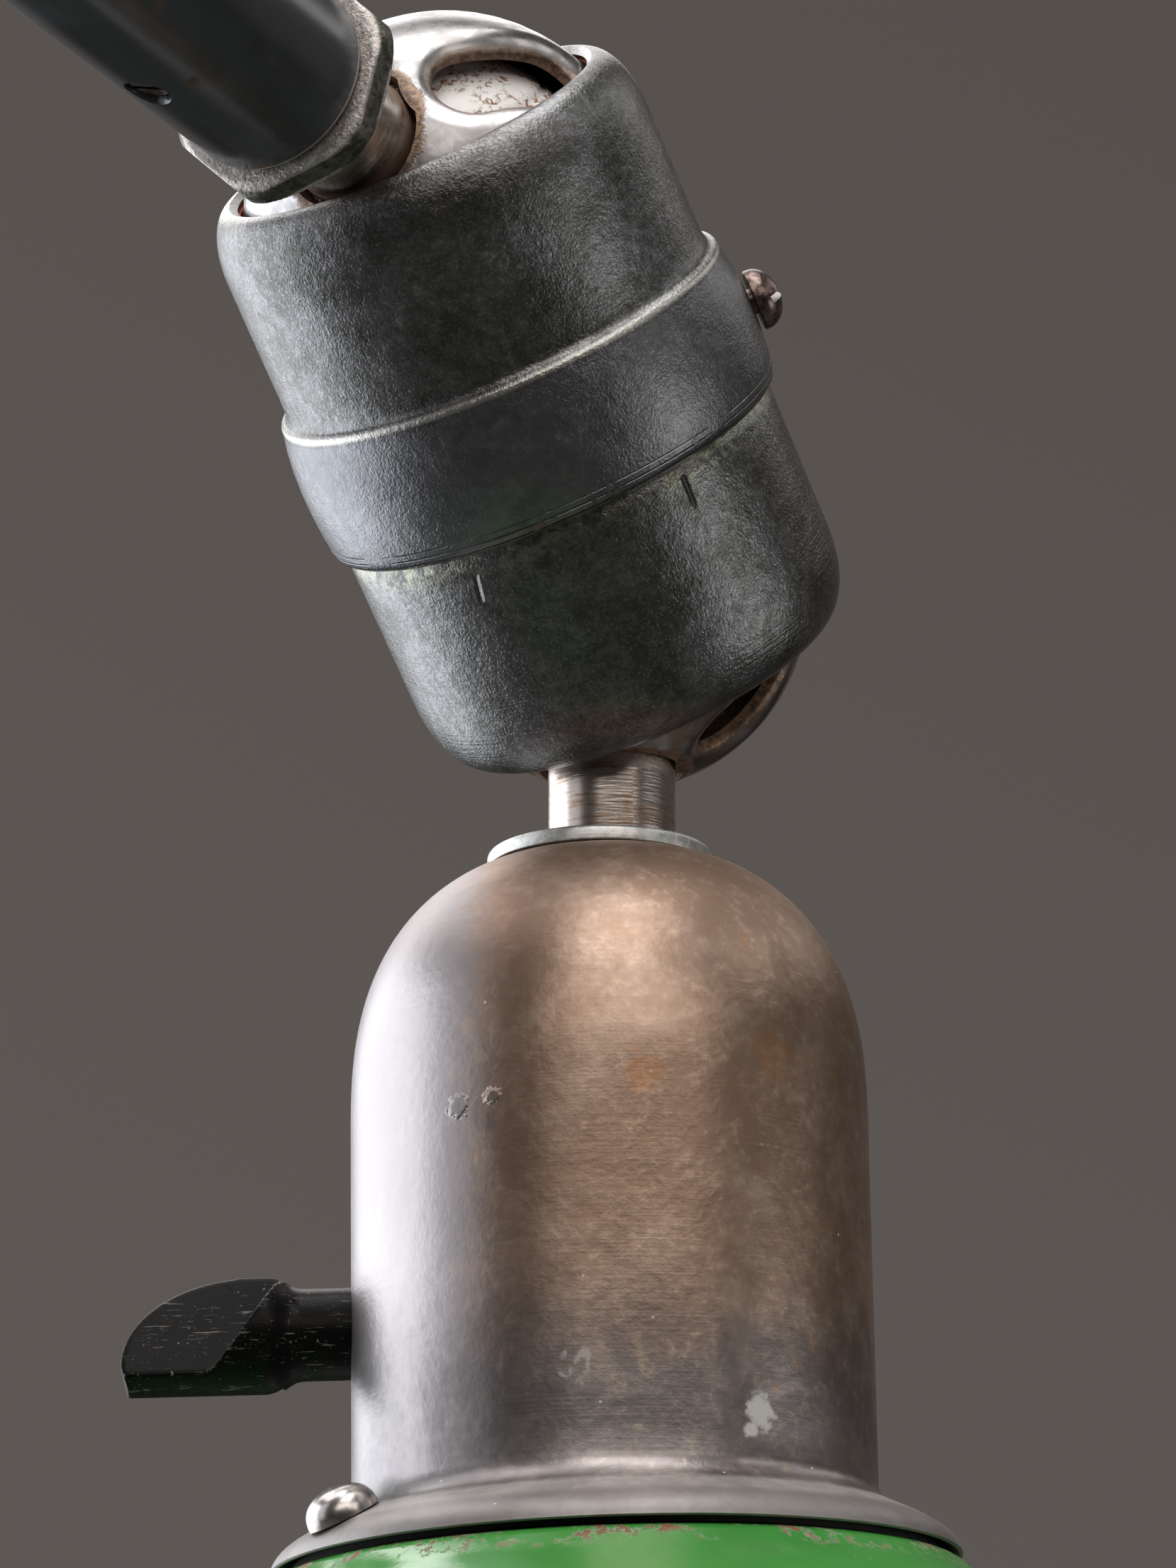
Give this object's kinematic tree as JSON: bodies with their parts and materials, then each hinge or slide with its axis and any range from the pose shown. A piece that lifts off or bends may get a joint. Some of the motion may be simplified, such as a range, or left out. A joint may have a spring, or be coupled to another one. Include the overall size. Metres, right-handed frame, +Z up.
{
  "type": "swing arm desk lamp",
  "caption": "Desk lamp on a round cast foot: tubular arms joined by double ball joints in cast housings, with a domed switch-key cover and a flared enamelled shade.",
  "frame": {"origin": "centre of the foot's underside, on the surface that the lamp stands on", "axes": "+Z up; the arms swing out in the vertical plane at about 62 degrees from +X towards +Y; the switch key points along -X"},
  "size_m": [0.4831, 0.6888, 0.5929],
  "materials": {
    "foot_paint": "satin black paint on cast iron",
    "rubber": "matt black rubber",
    "cast_shell": "mottled, oxidised cast aluminium",
    "screw_steel": "dark, worn steel",
    "spring_steel": "plain spring steel",
    "fibre": "dull red vulcanised fibre",
    "thrust_cup": "plain turned aluminium, speckled",
    "ball_nickel": "polished nickel, tarnished brown in places",
    "stem_nickel": "turned and nickelled, copper-brown tarnish",
    "tube_paint": "blue-grey satin",
    "nut_steel": "rough, pitted light grey",
    "washer": "dull, spun",
    "cover_bronze": "satin bronze-brown patina",
    "bakelite": "glossy black, finely scratched",
    "holder_brass": "dull brass",
    "bulb_cap": "plain brass",
    "flange_screw": "domed, polished nickel",
    "enamel": "glossy green vitreous enamel, chipped at the edge",
    "bulb_glass": "opal white glass"
  },
  "bodies": {
    "foot_body": {"foot": "foot_paint", "foot_pad": "rubber", "cable_gland": "rubber", "base_lower_stem": "stem_nickel"},
    "base_lower_ball_body": {"base_lower_ball": "ball_nickel"},
    "base_lower_seat": {"base_lower_friction_ring": "fibre", "base_lower_thrust_cup": "thrust_cup"},
    "base_housing": {"base_upper_shell": "cast_shell", "base_lower_shell": "cast_shell", "base_lock_screw": "screw_steel", "base_spring": "spring_steel"},
    "base_upper_seat": {"base_upper_friction_ring": "fibre", "base_upper_thrust_cup": "thrust_cup"},
    "base_upper_ball_body": {"base_upper_ball": "ball_nickel"},
    "lower_arm": {"base_upper_stem": "stem_nickel", "lower_arm_tube": "tube_paint", "lower_arm_near_lock_nut": "nut_steel", "lower_arm_near_set_screw": "screw_steel", "lower_arm_far_lock_nut": "nut_steel", "lower_arm_far_set_screw": "screw_steel", "elbow_lower_stem": "stem_nickel"},
    "elbow_lower_ball_body": {"elbow_lower_ball": "ball_nickel"},
    "elbow_lower_seat": {"elbow_lower_friction_ring": "fibre", "elbow_lower_thrust_cup": "thrust_cup"},
    "elbow_housing": {"elbow_upper_shell": "cast_shell", "elbow_lower_shell": "cast_shell", "elbow_lock_screw": "screw_steel", "elbow_spring": "spring_steel"},
    "elbow_upper_seat": {"elbow_upper_friction_ring": "fibre", "elbow_upper_thrust_cup": "thrust_cup"},
    "elbow_upper_ball_body": {"elbow_upper_ball": "ball_nickel"},
    "upper_arm": {"elbow_upper_stem": "stem_nickel", "upper_arm_tube": "tube_paint", "upper_arm_near_lock_nut": "nut_steel", "upper_arm_near_set_screw": "screw_steel", "upper_arm_far_lock_nut": "nut_steel", "upper_arm_far_set_screw": "screw_steel", "head_upper_stem": "stem_nickel"},
    "head_upper_ball_body": {"head_upper_ball": "ball_nickel"},
    "head_upper_seat": {"head_upper_friction_ring": "fibre", "head_upper_thrust_cup": "thrust_cup"},
    "head_housing": {"head_upper_shell": "cast_shell", "head_lower_shell": "cast_shell", "head_lock_screw": "screw_steel", "head_spring": "spring_steel"},
    "head_lower_seat": {"head_lower_friction_ring": "fibre", "head_lower_thrust_cup": "thrust_cup"},
    "head_lower_ball_body": {"head_lower_ball": "ball_nickel"},
    "head": {"head_lower_stem": "stem_nickel", "stem_washer": "washer", "lampholder_cover": "cover_bronze", "flange_screw": "flange_screw", "lampholder": "holder_brass", "shade_gasket": "rubber", "shade": "enamel", "shade_ring": "holder_brass", "bulb_glass": "bulb_glass", "bulb_cap": "bulb_cap"},
    "key": {"switch_key": "bakelite", "key_spindle": "holder_brass"}
  },
  "joints": [
    {"name": "base_lower_spin", "type": "hinge", "parent": "foot_body", "child": "base_lower_ball_body", "pos_m": [0, 0, 0.066], "axis": [0, 0, 1], "range_deg": [-170, 170]},
    {"name": "base_lower_tilt", "type": "hinge", "parent": "base_lower_ball_body", "child": "base_lower_seat", "pos_m": [0, 0, 0.066], "axis": [0.8825, -0.4702, 0], "range_deg": [-60.4, 28.5]},
    {"name": "base_lower_swivel", "type": "hinge", "parent": "base_lower_seat", "child": "base_housing", "pos_m": [0, 0, 0.066], "axis": [-0.1296, -0.2433, 0.9613], "range_deg": [-170, 170]},
    {"name": "base_upper_swivel", "type": "hinge", "parent": "base_housing", "child": "base_upper_seat", "pos_m": [-0.00633, -0.01187, 0.11291], "axis": [-0.1296, -0.2433, 0.9613], "range_deg": [-170, 170]},
    {"name": "base_upper_tilt", "type": "hinge", "parent": "base_upper_seat", "child": "base_upper_ball_body", "pos_m": [-0.00633, -0.01187, 0.11291], "axis": [-0.8825, 0.4702, 0], "range_deg": [-69, 24.9]},
    {"name": "base_upper_spin", "type": "hinge", "parent": "base_upper_ball_body", "child": "lower_arm", "pos_m": [-0.00633, -0.01187, 0.11291], "axis": [0.0492, 0.0923, 0.9945], "range_deg": [-170, 170]},
    {"name": "elbow_lower_spin", "type": "hinge", "parent": "lower_arm", "child": "elbow_lower_ball_body", "pos_m": [0.01458, 0.02737, 0.53598], "axis": [0.0492, 0.0923, 0.9945], "range_deg": [-170, 170]},
    {"name": "elbow_lower_tilt", "type": "hinge", "parent": "elbow_lower_ball_body", "child": "elbow_lower_seat", "pos_m": [0.01458, 0.02737, 0.53598], "axis": [-0.8825, 0.4702, 0], "range_deg": [-86, 2.9]},
    {"name": "elbow_lower_swivel", "type": "hinge", "parent": "elbow_lower_seat", "child": "elbow_housing", "pos_m": [0.01458, 0.02737, 0.53598], "axis": [0.3467, 0.6507, 0.6756], "range_deg": [-170, 170]},
    {"name": "elbow_upper_swivel", "type": "hinge", "parent": "elbow_housing", "child": "elbow_upper_seat", "pos_m": [0.0315, 0.05913, 0.56895], "axis": [0.3467, 0.6507, 0.6756], "range_deg": [-170, 170]},
    {"name": "elbow_upper_tilt", "type": "hinge", "parent": "elbow_upper_seat", "child": "elbow_upper_ball_body", "pos_m": [0.0315, 0.05913, 0.56895], "axis": [-0.8825, 0.4702, 0], "range_deg": [-92.5, 1.4]},
    {"name": "elbow_upper_spin", "type": "hinge", "parent": "elbow_upper_ball_body", "child": "upper_arm", "pos_m": [0.0315, 0.05913, 0.56895], "axis": [0.4696, 0.8813, -0.0529], "range_deg": [-170, 170]},
    {"name": "head_upper_spin", "type": "hinge", "parent": "upper_arm", "child": "head_upper_ball_body", "pos_m": [0.23126, 0.43403, 0.54646], "axis": [0.4696, 0.8813, -0.0529], "range_deg": [-170, 170]},
    {"name": "head_upper_tilt", "type": "hinge", "parent": "head_upper_ball_body", "child": "head_upper_seat", "pos_m": [0.23126, 0.43403, 0.54646], "axis": [-0.8783, 0.4602, -0.1301], "range_deg": [-93.4, 0.5]},
    {"name": "head_upper_swivel", "type": "hinge", "parent": "head_upper_seat", "child": "head_housing", "pos_m": [0.23126, 0.43403, 0.54646], "axis": [0.3892, 0.5298, -0.7536], "range_deg": [-170, 170]},
    {"name": "head_lower_swivel", "type": "hinge", "parent": "head_housing", "child": "head_lower_seat", "pos_m": [0.25026, 0.45989, 0.50969], "axis": [0.3892, 0.5298, -0.7536], "range_deg": [-170, 170]},
    {"name": "head_lower_tilt", "type": "hinge", "parent": "head_lower_seat", "child": "head_lower_ball_body", "pos_m": [0.25026, 0.45989, 0.50969], "axis": [-0.8059, 0.592, 0], "range_deg": [-85.6, 3.4]},
    {"name": "head_lower_spin", "type": "hinge", "parent": "head_lower_ball_body", "child": "head", "pos_m": [0.25026, 0.45989, 0.50969], "axis": [0, 0, -1], "range_deg": [-170, 170]},
    {"name": "key_turn", "type": "hinge", "parent": "head", "child": "key", "pos_m": [0.25037, 0.45989, 0.42339], "axis": [-0.9974, 0.0698, -0.0157], "continuous": true}
  ]
}
